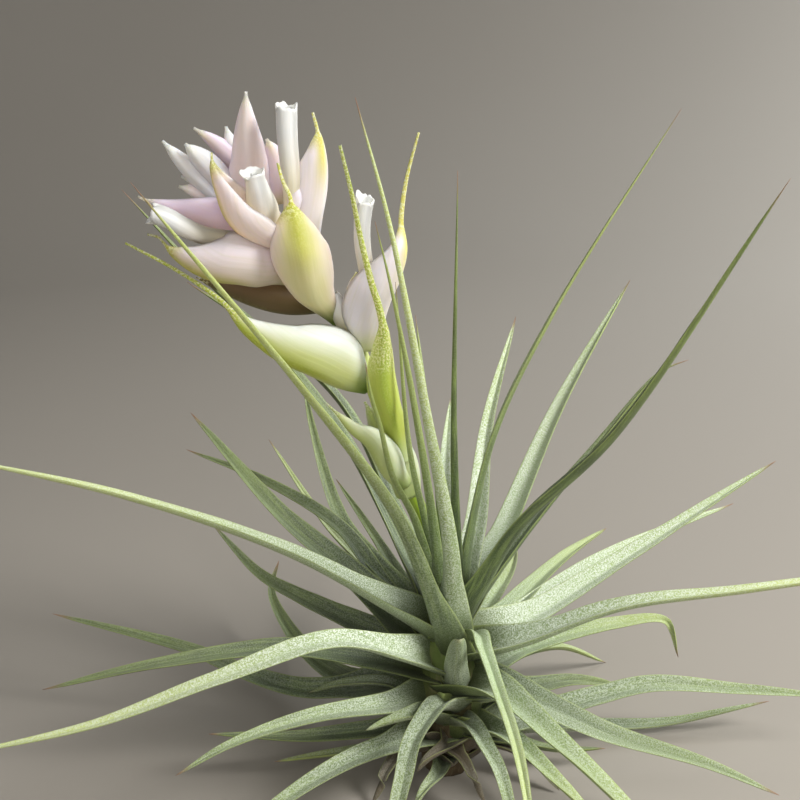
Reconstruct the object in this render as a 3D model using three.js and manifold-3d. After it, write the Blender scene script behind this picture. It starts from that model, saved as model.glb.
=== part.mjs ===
// A flowering air plant: a short stem clasped by a rosette of channelled leaves, and a leaning
// flower stalk with boat-shaped bracts and white rolled petals.
// Units are millimetres, +Z is up, +X is right and +Y is away from the viewer.
// The origin is the centre of the flat cut foot of the stem, which the plant rests on.
import * as THREE from "three";
import { mergeVertices } from "three/addons/utils/BufferGeometryUtils.js";
import Module from "manifold-3d";

const wasm = await Module();
wasm.setup();

// Driving dimensions
const gap = 0.3; // clearance between pieces that touch
const sliver = 0.02; // details of a cut smaller than this are smoothed away
const stemHeight = 50;
const stemRadius = 7.5;
const stalkRadius = 2.2;
const leafThickness = 1.5; // at the foot of a leaf
const tipThickness = 0.5; // at the fine end of a leaf or an awn
const leafCup = 0.7; // rise of a leaf's edges over its middle, per half width
const bractThickness = 1.1;
const awnWidth = 2; // shrinks to a quarter at its tip

// Stem outline: shares of stemRadius against shares of stemHeight
const stemOutline = [
  [0.75, 0],
  [0.9, 0.1],
  [1, 0.3],
  [0.95, 0.6],
  [0.75, 0.85],
  [0.5, 1],
];

// The stalk's centre line, from the top of the stem to the end of the flower head
const stalkPath = [
  [-2, 0, 50.5],
  [-6, 0, 68],
  [-11, 0, 83],
  [-16, 0, 98],
  [-22, 0, 114],
  [-31, 0, 127],
  [-43, 1, 146],
];

// Leaves, innermost first. Each starts inside the stem, runs through its points and ends in its tip.
// turn rolls a leaf's hollow side towards the viewer.
const leaves = [
  // upright, round the stalk
  { name: "upright_leaf_1", width: 3, taper: 1.6,
    path: [[1, -3, 46], [1, -6, 68], [0, -8, 99], [0, -6, 154]] },
  { name: "upright_leaf_2", width: 3.4, taper: 1.4,
    path: [[-2, -3, 46], [-6, -6, 71], [-10, -8, 92], [-13, -9, 131]] },
  { name: "upright_leaf_3", width: 4, taper: 1,
    path: [[-2, -4, 46], [-9, -7, 74], [-14, -9, 86], [-16.5, -11, 98.5], [-18.5, -12, 107],
      [-19.5, -12, 114]] },
  { name: "upright_leaf_4", width: 4, taper: 1.4,
    path: [[-2, -5, 42], [-4, -11, 68], [-9, -14, 104], [-14, -17, 132], [-17, -20, 146]] },
  { name: "upright_leaf_5", width: 4.2, taper: 1.8,
    path: [[4, -1, 44], [5, -2, 66], [10, -3, 94], [22, -2, 122], [47, 0, 166]] },
  { name: "upright_leaf_6", width: 7, taper: 2.2,
    path: [[-1, -5, 38], [-1, -17, 68], [-7, -25, 108], [-14, -31, 147], [-20, -35, 171]] },
  { name: "upright_leaf_7", width: 7.5, taper: 1.5,
    path: [[-1, -4, 34], [-6, -14, 58], [-14, -20, 82], [-30, -31, 112], [-58, -48, 158]] },
  { name: "upright_leaf_8", width: 8, taper: 1.3,
    path: [[3, -3, 40], [8, -8, 56], [16, -14, 76], [34, -20, 100], [61, -30, 156]] },
  { name: "upright_leaf_9", width: 9.5, taper: 1.1,
    path: [[3, 3, 40], [13, 12, 54], [28, 28, 85], [48, 42, 119]] },
  { name: "upright_leaf_10", width: 5.5, taper: 1.2,
    path: [[4, 1, 42], [18, 6, 62], [39, 18, 84], [54, 26, 99], [61, 27, 102]] },
  { name: "upright_leaf_11", width: 7.5, taper: 1,
    path: [[1, 4, 42], [7, 12, 60], [11, 28, 84], [19, 46, 108]] },
  // behind the flower head
  { name: "rear_leaf_1", width: 5.5, taper: 1.2,
    path: [[-2, 4, 42], [-12, 13, 62], [-27, 24, 91], [-57, 30, 118], [-80, 32, 144]] },
  { name: "rear_leaf_2", width: 7, taper: 1.1,
    path: [[-3, 4, 38], [-13, 20, 55], [-30, 34, 82], [-50, 42, 105], [-68, 44, 118]] },
  { name: "rear_leaf_3", width: 6.5, path: [[0, 4, 38], [0, 22, 50], [1, 52, 62], [4, 90, 69]] },
  { name: "rear_leaf_4", width: 7, turn: 0.5,
    path: [[-1, 4, 33], [-13, 19, 41], [-28, 36, 52], [-37, 52, 74], [-40, 60, 88]] },
  // to the left
  { name: "left_leaf_1", width: 8, taper: 1.2,
    path: [[-3, -2, 38], [-14, -6, 49], [-37, -10, 66], [-71, -14, 82], [-112, -16, 94]] },
  { name: "left_leaf_2", width: 10.5, turn: 0.5,
    path: [[-4, 1, 33], [-16, 9, 40], [-28, 17, 48], [-44, 27, 58], [-69, 42, 82]] },
  { name: "left_leaf_3", width: 7, taper: 1.1, turn: 0.5,
    path: [[-3, -3, 31], [-13, -14, 42], [-28, -20, 49], [-54, -28, 44], [-80, -33, 36],
      [-112, -36, 30]] },
  { name: "left_leaf_4", width: 9, turn: 0.5,
    path: [[-3, 3, 26], [-15, 12, 29], [-40, 32, 30], [-53, 41, 33], [-67, 50, 45]] },
  { name: "left_leaf_5", width: 7.5, turn: 0.5,
    path: [[-4, -1, 28], [-20, -4, 34], [-41, -6, 38], [-71, -8, 35], [-100, -8, 28]] },
  { name: "left_leaf_6", width: 7.5, turn: 0.5,
    path: [[-3, -3, 21], [-15, -14, 27], [-33, -24, 31], [-50, -32, 30], [-62, -36, 25]] },
  { name: "left_leaf_7", width: 8, turn: 0.5,
    path: [[-4, 1, 20], [-14, 5, 20], [-26, 9, 16], [-40, 12, 14], [-55, 14, 18], [-68, 15, 24],
      [-104, 16, 35]] },
  { name: "left_leaf_8", width: 7.5, turn: 0.5,
    path: [[-3, -3, 11], [-13, -14, 16], [-27, -24, 17], [-44, -34, 11], [-60, -46, 0]] },
  { name: "left_leaf_9", width: 6.5, turn: 0.5,
    path: [[-4, 0, 10], [-20, -2, 11], [-38, -7, 13], [-59, -12, 18]] },
  // to the right
  { name: "right_leaf_1", width: 8.5, turn: 0.5,
    path: [[4, 0, 34], [20, 5, 39], [48, 12, 55], [83, 18, 78]] },
  { name: "right_leaf_2", width: 7, taper: 1.1,
    path: [[4, -2, 33], [18, -9, 42], [39, -15, 55], [67, -19, 62], [108, -21, 70]] },
  { name: "right_leaf_3", width: 7.5, turn: 0.5,
    path: [[4, 3, 28], [18, 17, 32], [46, 36, 41], [85, 52, 50]] },
  { name: "right_leaf_4", width: 8, path: [[2, 4, 28], [17, 18, 34], [32, 38, 37], [52, 68, 34]] },
  { name: "right_leaf_5", width: 7.5, turn: 0.5,
    path: [[4, 1, 23], [22, 10, 28], [46, 17, 31], [60, 20, 30], [64, 20, 19]] },
  { name: "right_leaf_6", width: 8, turn: 0.5,
    path: [[4, 0, 14], [20, 2, 12], [40, 4, 17], [54, 5, 20], [78, 6, 18], [104, 6, 16]] },
  { name: "right_leaf_7", width: 7,
    path: [[4, 1, 7], [20, 4, 7], [40, 9, 4], [60, 12, 3], [88, 14, 9]] },
  { name: "right_leaf_8", width: 8.5, turn: 0.5,
    path: [[3, -2, 24], [17, -9, 27], [38, -21, 24], [58, -30, 23], [74, -34, 18]] },
  { name: "right_leaf_9", width: 8,
    path: [[2, -4, 24], [12, -15, 31], [25, -31, 28], [46, -48, 14], [62, -60, 0]] },
  { name: "right_leaf_10", width: 6.5,
    path: [[3, -3, 12], [14, -12, 17], [26, -25, 13], [42, -36, 0]] },
  // towards the viewer
  { name: "front_leaf_1", width: 3.6, taper: 0.7,
    path: [[1, -4, 38], [6.5, -10, 44.5], [7.5, -20, 46], [8.5, -38, 50], [9.5, -65, 56.5],
      [9, -88, 63], [7.5, -112, 68]] },
  { name: "front_leaf_2", width: 7, taper: 0.35,
    path: [[0, -4, 27], [2, -9, 28.5], [1.5, -14, 37], [1.5, -18, 44.5], [1.5, -21, 50.5]] },
  { name: "front_leaf_3", width: 7.5, taper: 0.95,
    path: [[-1, -4, 18], [1.5, -9, 23], [-2.5, -15, 27.5], [-6, -23, 29], [-9.5, -31, 28],
      [-11.5, -38, 24], [-15, -50, 12], [-17, -60, 0]] },
  { name: "front_leaf_4", width: 6, taper: 0.95,
    path: [[1, -4, 14], [3.5, -10, 19.5], [6, -16, 22], [8.5, -23, 21.5], [11, -29, 19.5],
      [14, -37, 12], [17, -44, 0]] },
  // low behind, on which the plant also rests
  { name: "low_leaf_1", width: 7, path: [[-3, 4, 14], [-14, 18, 20], [-30, 36, 16], [-46, 54, 0]] },
  { name: "low_leaf_2", width: 7, path: [[0, 4, 18], [3, 22, 24], [8, 44, 18], [12, 68, 0]] },
  { name: "low_leaf_3", width: 7, path: [[3, 3, 14], [14, 16, 18], [32, 32, 14], [50, 46, 0]] },
];

// Bracts, innermost first. body is the share of the path that is wide; the rest is the awn.
// foot is the width at the base and belly the place where it is widest, both as shares;
// point is higher for a blunter end, and depth is the hollow's, per half width.
const bracts = [
  { name: "crown_bract_top", width: 9.4, body: 0.99, belly: 0.2, point: 1.4, faces: [0, 1, 0],
    path: [[-42, 2, 144], [-44.5, 2, 149], [-44.5, 1, 155], [-44.5, 0, 162.5], [-44, -1, 169.5]] },
  { name: "crown_bract_back", width: 6, body: 0.98, belly: 0.4, point: 1.6,
    path: [[-43, 5, 146], [-47, 7, 152.5], [-51, 7, 156.5], [-54, 6, 159.5], [-56.5, 5, 161.5]] },
  { name: "crown_bract_left", width: 8, body: 0.97, belly: 0.35, point: 1.5, depth: 1.1,
    faces: [0.1, 0.5, 1],
    path: [[-40, 1, 138], [-45.5, -2, 139.5], [-53.5, -5, 142.5], [-58, -7, 144.5], [-63.5, -7, 147],
      [-67, -6, 148.5]] },
  { name: "floral_bract_right", width: 8.5, body: 0.9, belly: 0.5, point: 2.2, depth: 1,
    faces: [-1, 0.9, 0.1],
    path: [[-31, 0, 130], [-30.5, -1, 141], [-29, -2, 149.5], [-28.5, -3, 156], [-29, -3, 161.5],
      [-30, -3, 165.5]] },
  { name: "floral_bract_middle", width: 10.5, body: 0.97, belly: 0.5, point: 1.7, depth: 1,
    faces: [0.8, -0.05, 0.6], foot: 0.2,
    path: [[-34, 0, 135], [-38, -3, 137.5], [-41.5, -6.5, 139.5], [-45, -9.5, 142],
      [-47.5, -11.5, 145.5], [-49, -12.5, 150.5], [-50, -12.5, 155], [-50, -12.5, 158.5]] },
  { name: "floral_bract_left", width: 11.5, body: 0.87, belly: 0.5, foot: 0.6, point: 1.75, depth: 1.1,
    faces: [0.1, 0.6, 1],
    path: [[-34, -1, 128.5], [-39, -4, 130], [-43, -8, 130.5], [-46, -10, 131.5], [-51, -11.5, 132.5],
      [-55.5, -12, 134.5], [-59, -11.5, 137], [-61, -10.5, 139], [-62.5, -9.5, 140.5],
      [-65, -8.5, 141]] },
  { name: "floral_bract_front", width: 11.8, body: 0.8, belly: 0.62, foot: 0.1, point: 2.6,
    path: [[-26.5, -1.5, 119.5], [-28.5, -5, 123], [-30.5, -9, 127], [-31.5, -12.5, 132.5],
      [-32, -14.5, 138], [-33, -14, 143], [-34, -12.5, 147.5], [-34.5, -11, 149.5], [-36, -10, 152.5],
      [-37, -9, 156]] },
  { name: "floral_bract_low", width: 13, body: 0.62, belly: 0.3, foot: 0.2, point: 1.6, depth: 1,
    faces: [0.1, 1.1, 0.9],
    path: [[-20, -1.5, 103.5], [-24, -6, 106.5], [-30, -11, 111.5], [-37.5, -13, 115.5],
      [-44.5, -13, 121], [-49.5, -12, 127], [-58.5, -11, 133.5], [-69.5, -10, 139.5]] },
  { name: "side_bract_right", width: 9.5, body: 0.62, belly: 0.35, foot: 0.4, point: 1.7, depth: 1.2,
    faces: [-1, 0.5, 0.2],
    path: [[-18, -3, 114], [-15, -6, 125.5], [-12.5, -7, 131.5], [-11, -7, 137.5], [-11.5, -5, 143],
      [-10.5, -4, 151.5], [-8, -4, 161.5]] },
  { name: "stalk_bract_upper", width: 6.2, body: 0.48, belly: 0.55, foot: 0.45, point: 1.8, depth: 0.9,
    faces: [-0.3, 1, 0],
    path: [[-11, -3, 86.5], [-12.5, -5, 94.5], [-14.5, -7.5, 102.5], [-15.5, -8.5, 109],
      [-15.5, -9, 116], [-15.5, -9.5, 121], [-16.5, -10, 126], [-18, -11, 131.5], [-20, -13, 141],
      [-21.5, -17, 150.5], [-23.5, -22, 161]] },
  { name: "stalk_bract_lower", width: 6.4, body: 0.93, belly: 0.4, foot: 0.5, point: 1.4, depth: 1,
    faces: [0.5, 0.9, 0.7],
    path: [[-11.5, -2.5, 80], [-14.5, -6, 84], [-19, -8, 93], [-22.5, -9, 96.5], [-25.5, -9.5, 100.5],
      [-28.5, -9, 103.5]] },
  { name: "stalk_sheath", width: 8, body: 0.97, belly: 0.4, foot: 0.7, point: 1.6, depth: 0.9,
    faces: [0.2, 1, 0.1],
    path: [[-10.5, -2, 77], [-12, -2.5, 83], [-14.5, -3, 89], [-17.5, -3.5, 96], [-20, -4, 102]] },
];

// Rolled petals: a tube that opens a little at its mouth
const corollas = [
  { name: "corolla_tall", radius: 2,
    path: [[-36, -1, 139], [-35, -3, 151], [-35.5, -3, 160], [-35.5, -3, 168]] },
  { name: "corolla_right", radius: 1.7,
    path: [[-17.5, -3, 118], [-18.5, -4, 128], [-20, -5, 138], [-20, -5.5, 143], [-19, -6, 149.5]] },
  { name: "corolla_left", radius: 1.9,
    path: [[-44.5, -2, 139.5], [-49, -6, 140], [-53, -9, 141], [-56.5, -11, 143], [-60.5, -12, 145.5],
      [-64, -12, 146.5]] },
  { name: "corolla_middle", radius: 2.8,
    path: [[-38.5, -3, 139], [-40, -6, 143], [-41, -8.5, 148.5], [-41.5, -10, 152],
      [-42, -10.5, 155]] },
  { name: "corolla_bud", radius: 2, path: [[-23.5, -1, 117], [-25, -3, 122.5], [-26.5, -3, 127.5]] },
];

const up = new THREE.Vector3(0, 0, 1);
const towardsViewer = new THREE.Vector3(0, -1, 0);

function curveOf(path) {
  const points = path.map((p) => new THREE.Vector3(...p));
  return new THREE.CatmullRomCurve3(points, false, "centripetal");
}

// A manifold-3d solid from points and faces, turned right side out.
function solidFrom(points, faces) {
  const geometry = new THREE.BufferGeometry().setFromPoints(points);
  geometry.setIndex(faces.flat());
  return solidOf(geometry);
}

function solidOf(geometry) {
  geometry.deleteAttribute("normal");
  geometry.deleteAttribute("uv");
  const merged = mergeVertices(geometry, 1e-3);
  const mesh = new wasm.Mesh({
    numProp: 3,
    vertProperties: new Float32Array(merged.attributes.position.array),
    triVerts: new Uint32Array(merged.index.array),
  });
  return new wasm.Manifold(mesh);
}

function meshOf(name, solid, material) {
  const result = solid.getMesh();
  const geometry = new THREE.BufferGeometry();
  geometry.setAttribute("position", new THREE.BufferAttribute(result.vertProperties, result.numProp));
  geometry.setIndex(new THREE.BufferAttribute(result.triVerts, 1));
  geometry.computeVertexNormals();
  const mesh = new THREE.Mesh(geometry, material);
  mesh.name = name;
  return mesh;
}

// Across a blade: five points of the under side, edge to edge, then three of the upper side back.
const underSide = [-1, -0.55, 0, 0.55, 1];
const upperSide = [0.55, 0, -0.55];

// One cross-section of a blade: a channel whose edges rise by cup and thin out to nothing.
// grow widens it all round: its edges run on along the channel, and steep sides thicken more.
function bladeRing(centre, side, normal, width, cup, thickness, grow) {
  const reach = width / 2 + 2 * grow;
  const place = (s, height) =>
    centre
      .clone()
      .addScaledVector(side, s * reach)
      .addScaledVector(normal, (cup * (s * reach) ** 2) / (width / 2) + height);
  const thicken = (s) => (Math.abs(s) < 1 ? grow * Math.hypot(1, 2 * cup * s) : 0);
  const half = (s) => (thickness / 2) * (1 - s * s) + thicken(s);
  return [
    ...underSide.map((s) => place(s, -half(s))),
    ...upperSide.map((s) => place(s, half(s))),
  ];
}

// A channelled blade along a curve, ending in a point. inner(point) is the way its hollow side faces.
function bladeSolid({ curve, rings, width, cup, thickness, inner, grow = 0 }) {
  const points = [];
  const faces = [];
  const count = underSide.length + upperSide.length;
  for (let i = 0; i < rings; i++) {
    const t = i / rings;
    const centre = curve.getPointAt(t);
    const tangent = curve.getTangentAt(t);
    const side = tangent.clone().cross(inner(centre, t)).normalize();
    const normal = side.clone().cross(tangent).normalize();
    points.push(...bladeRing(centre, side, normal, width(t), cup(t), thickness(t), grow));
  }
  for (let i = 0; i + 1 < rings; i++) {
    for (let k = 0; k < count; k++) {
      const a = i * count + k;
      const b = i * count + ((k + 1) % count);
      faces.push([a, b + count, b], [a, a + count, b + count]);
    }
  }
  const last = (rings - 1) * count;
  const apex = points.push(curve.getPointAt(1)) - 1;
  for (let k = 0; k < count; k++) faces.push([last + ((k + 1) % count), last + k, apex]);
  // The foot's face is filled as a strip between the under and the upper side.
  faces.push([0, 1, 7], [1, 6, 7], [1, 2, 6], [2, 5, 6], [2, 3, 5], [3, 4, 5]);
  return solidFrom(points, faces);
}

// A leaf tapers all the way, and its last part is fine. A higher taper narrows it sooner.
const fineShare = 0.12;
const leafRingStep = 18; // mm of leaf for each cross-section beyond the first eight
const leafWidth = (width, taper) => (t) =>
  width * ((1 - fineShare) * (1 - t) ** taper + fineShare * (1 - t ** 8));

function leafSolid({ path, width, taper = 0.95, turn = 0 }, grow = 0) {
  const curve = curveOf(path);
  const rings = Math.round(8 + curve.getLength() / leafRingStep);
  const heading = curve.getPoint(1).sub(curve.getPoint(0)).setZ(0).normalize();
  // The hollow side faces up and towards the middle of the plant.
  const inner = () => up.clone().addScaledVector(heading, -0.9).addScaledVector(towardsViewer, turn);
  return bladeSolid({
    curve,
    rings,
    width: leafWidth(width, taper),
    cup: () => leafCup,
    thickness: (t) => leafThickness + (tipThickness - leafThickness) * t,
    inner,
    grow,
  });
}

const awnRingStep = 8; // mm of awn for each cross-section beyond the body's eleven

// A bract swells to its belly, draws in to a point and then runs out into its awn.
function bractWidth({ width, body, belly, foot, point }) {
  return (t) => {
    const u = Math.min(t / body, 1);
    const opening = foot + (1 - foot) * Math.sin((Math.min(1, u / belly) * Math.PI) / 2);
    const closing = 1 - Math.max(0, (u - belly) / (1 - belly)) ** point;
    return Math.max(width * opening * closing, awnWidth * (1 - 0.75 * t));
  };
}

function bractSolid(bract, stalk, grow = 0) {
  const { path, body, faces, foot = 0.3, depth = 0.85 } = bract;
  const curve = curveOf(path);
  const awn = curve.getLength() * (1 - body);
  const rings = Math.round(11 + awn / awnRingStep);
  // The hollow side faces the stalk, unless the bract says where.
  const inner = faces
    ? () => new THREE.Vector3(...faces)
    : (centre) => nearestOn(stalk, centre).sub(centre).addScaledVector(up, 4);
  return bladeSolid({
    curve,
    rings,
    width: bractWidth({ ...bract, foot }),
    cup: (t) => depth * Math.max(0.3, 1 - t / body) + 0.1,
    thickness: (t) => bractThickness + (tipThickness - bractThickness) * t,
    inner,
    grow,
  });
}

const curveSamples = 60;

// The point of a curve that lies nearest to a place.
function nearestOn(curve, place) {
  let best = curve.getPoint(0);
  for (let i = 1; i <= curveSamples; i++) {
    const point = curve.getPoint(i / curveSamples);
    if (point.distanceTo(place) < best.distanceTo(place)) best = point;
  }
  return best;
}

// A round bar along a curve, of a radius that may change, with flat ends.
function barSolid(curve, rings, sides, radius) {
  const points = [];
  const faces = [];
  const frames = curve.computeFrenetFrames(rings - 1, false);
  for (let i = 0; i < rings; i++) {
    const t = i / (rings - 1);
    const centre = curve.getPointAt(t);
    for (let k = 0; k < sides; k++) {
      const angle = (2 * Math.PI * k) / sides;
      points.push(
        centre
          .clone()
          .addScaledVector(frames.normals[i], radius(t) * Math.cos(angle))
          .addScaledVector(frames.binormals[i], radius(t) * Math.sin(angle)),
      );
    }
  }
  for (let i = 0; i + 1 < rings; i++) {
    for (let k = 0; k < sides; k++) {
      const a = i * sides + k;
      const b = i * sides + ((k + 1) % sides);
      faces.push([a, b, b + sides], [a, b + sides, a + sides]);
    }
  }
  const foot = points.push(curve.getPointAt(0)) - 1;
  const end = points.push(curve.getPointAt(1)) - 1;
  const last = (rings - 1) * sides;
  for (let k = 0; k < sides; k++) {
    const next = (k + 1) % sides;
    faces.push([foot, next, k], [end, last + k, last + next]);
  }
  return solidFrom(points, faces);
}

function stemSolid(grow = 0) {
  const height = stemHeight + grow;
  const outline = stemOutline.map(([r, z]) => new THREE.Vector2(r * stemRadius + grow, z * height));
  const top = outline.at(-1).y;
  const profile = [new THREE.Vector2(0, 0), ...outline, new THREE.Vector2(0, top)];
  const turned = new THREE.LatheGeometry(profile, 18).rotateX(Math.PI / 2);
  return solidOf(turned);
}

function stalkSolid(grow = 0) {
  const radius = (t) => stalkRadius * (1 - 0.35 * t) + grow;
  return barSolid(curveOf(stalkPath), 16, 8, radius);
}

function corollaSolid({ path, radius }, grow = 0) {
  const swell = (t) => radius * (0.7 + 0.15 * Math.sin(Math.PI * t) + 0.4 * t ** 4) + grow;
  return barSolid(curveOf(path), 8, 8, swell);
}

const material = (color, roughness) => new THREE.MeshStandardMaterial({ color, roughness, metalness: 0 });
const materials = {
  stem: material(0x8a7a58, 0.9),
  stalk: material(0xa9bf4a, 0.6),
  leaf: material(0x93a67f, 0.8),
  bract: material(0xe6c9cc, 0.6),
  stalkBract: material(0xb9c26a, 0.6),
  petal: material(0xf1f1ec, 0.5),
};

// Cuts a piece clear of everything placed before it and keeps its largest body.
function fitted(solid, placed) {
  let left = solid;
  for (const other of placed) {
    if (boxesMeet(left.boundingBox(), other.boundingBox())) left = left.subtract(other);
  }
  return largestBody(largestBody(left).simplify(sliver));
}

const largestBody = (solid) => solid.decompose().sort((a, b) => b.volume() - a.volume())[0];

function boxesMeet(a, b) {
  return [0, 1, 2].every((axis) => a.min[axis] < b.max[axis] && b.min[axis] < a.max[axis]);
}

const plant = new THREE.Group();
const placed = [];

function place(name, makeSolid, look) {
  const solid = fitted(makeSolid(0), placed);
  placed.push(makeSolid(gap));
  const mesh = meshOf(name, solid, look);
  plant.add(mesh);
}

place("short_stem", stemSolid, materials.stem);
place("flower_stalk", stalkSolid, materials.stalk);
const stalkCurve = curveOf(stalkPath);
for (const leaf of leaves) place(leaf.name, (grow) => leafSolid(leaf, grow), materials.leaf);
for (const bract of bracts) {
  const look = bract.name.startsWith("stalk") ? materials.stalkBract : materials.bract;
  place(bract.name, (grow) => bractSolid(bract, stalkCurve, grow), look);
}
for (const corolla of corollas) place(corolla.name, (grow) => corollaSolid(corolla, grow), materials.petal);

export default plant;
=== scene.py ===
"""Looks of a flowering air plant: channelled leaves, boat-shaped pink bracts and rolled white petals.

Tables are in millimetres in the part's own frame: +Z up, +X right, +Y away from the viewer.
"""

import math

import bmesh
import bpy
import numpy as np
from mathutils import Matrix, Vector


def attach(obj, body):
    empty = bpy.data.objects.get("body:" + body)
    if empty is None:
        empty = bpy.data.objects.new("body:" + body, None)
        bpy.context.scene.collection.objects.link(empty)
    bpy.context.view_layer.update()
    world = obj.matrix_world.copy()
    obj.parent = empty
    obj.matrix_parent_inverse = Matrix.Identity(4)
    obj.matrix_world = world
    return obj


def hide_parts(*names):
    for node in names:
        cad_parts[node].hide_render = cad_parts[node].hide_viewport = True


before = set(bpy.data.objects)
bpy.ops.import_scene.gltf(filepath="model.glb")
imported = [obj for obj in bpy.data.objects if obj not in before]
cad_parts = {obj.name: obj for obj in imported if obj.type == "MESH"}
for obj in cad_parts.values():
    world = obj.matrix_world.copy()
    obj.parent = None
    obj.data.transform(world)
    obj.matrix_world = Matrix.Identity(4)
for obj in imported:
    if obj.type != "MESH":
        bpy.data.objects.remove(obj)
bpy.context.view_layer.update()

MM = 0.001
UP = np.array([0.0, 0.0, 1.0])
TOWARDS_VIEWER = np.array([0.0, -1.0, 0.0])

# Camera, from the photograph's viewing angle
VIEW_ELEVATION = math.radians(20)
VIEW_DISTANCE = 250
VIEW_TARGET = (-12, 0, 101)
FOCAL_PIXELS = 1087
PICTURE_PIXELS = 800
SENSOR_WIDTH = 36

# The stem and the stalk, as in the part
STEM_HEIGHT = 50
STEM_RADIUS = 7.5
STEM_OUTLINE = [(0.75, 0), (0.9, 0.1), (1, 0.3), (0.95, 0.6), (0.75, 0.85), (0.5, 1)]
STALK_RADIUS = 2.2
STALK_TAPER = 0.35
STALK_PATH = [
    (-2, 0, 50.5), (-6, 0, 68), (-11, 0, 83), (-16, 0, 98), (-22, 0, 114), (-31, 0, 127), (-43, 1, 146),
]

# A leaf's thickness at its foot and tip, a little less than in the part
LEAF_THICKNESS = 1.4
TIP_THICKNESS = 0.45

# Share of a leaf's width that holds on nearly to its tip
FINE_SHARE = 0.12

# Share of a leaf that clasps the stem, the least and most millimetres of it, where the clasp starts to ease,
# and how much wider a leaf is at its foot
SHEATH_SHARE = 0.28
SHEATH_LEAST = 8
SHEATH_MOST = 32
SHEATH_EASE = 3
SHEATH_GROWTH = 0.7
FRONT_GROWTH = 0.2
BASE_GROWTH = 0.2

# Seeds, so that each kind of piece draws numbers of its own
BRACT_SEED = 100
PETAL_SEED = 200
BASE_SEED = 300

# Leaf looks: tone from dark to pale, silver scurf, yellow towards the tip, dryness, and how much of the
# scurf the under side has too. All are shares of 1, and silver passes 1 where the scurf is thick
# The next look is painted shade: a darker green given to leaves that lie in the plant's own shadow, behind
# and under the others
IN_SHADE = (0.05, 0.3, 0.15, 0, 0.25)
OLIVE = (0.25, 0.55, 0.5, 0, 0.35)
UPRIGHT = (0.2, 0.75, 0.9, 0, 0.35)
GREEN = (0.45, 0.55, 0.45, 0, 0.35)
SILVER = (0.3, 0.65, 0.15, 0, 0.9)
FRESH = (0.65, 0.95, 0.95, 0, 0.7)
PALE = (1, 1.35, 0.3, 0, 0.3)
YELLOW = (1, 0.7, 0.8, 0, 0.6)
GREY = (0.25, 1.1, 0, 0, 0.6)
DRY = (0.1, 0.25, 0, 1, 0.5)

# Leaves whose hollow side is rolled towards the viewer
TURN = 0.5
TURNED = {
    "left_leaf_2", "left_leaf_3", "left_leaf_4", "left_leaf_5", "left_leaf_6", "left_leaf_7", "left_leaf_8",
    "left_leaf_9", "left_leaf_10", "left_leaf_11", "rear_leaf_4", "right_leaf_1", "right_leaf_3",
    "right_leaf_5", "right_leaf_6", "right_leaf_8", "right_leaf_11",
}

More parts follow.
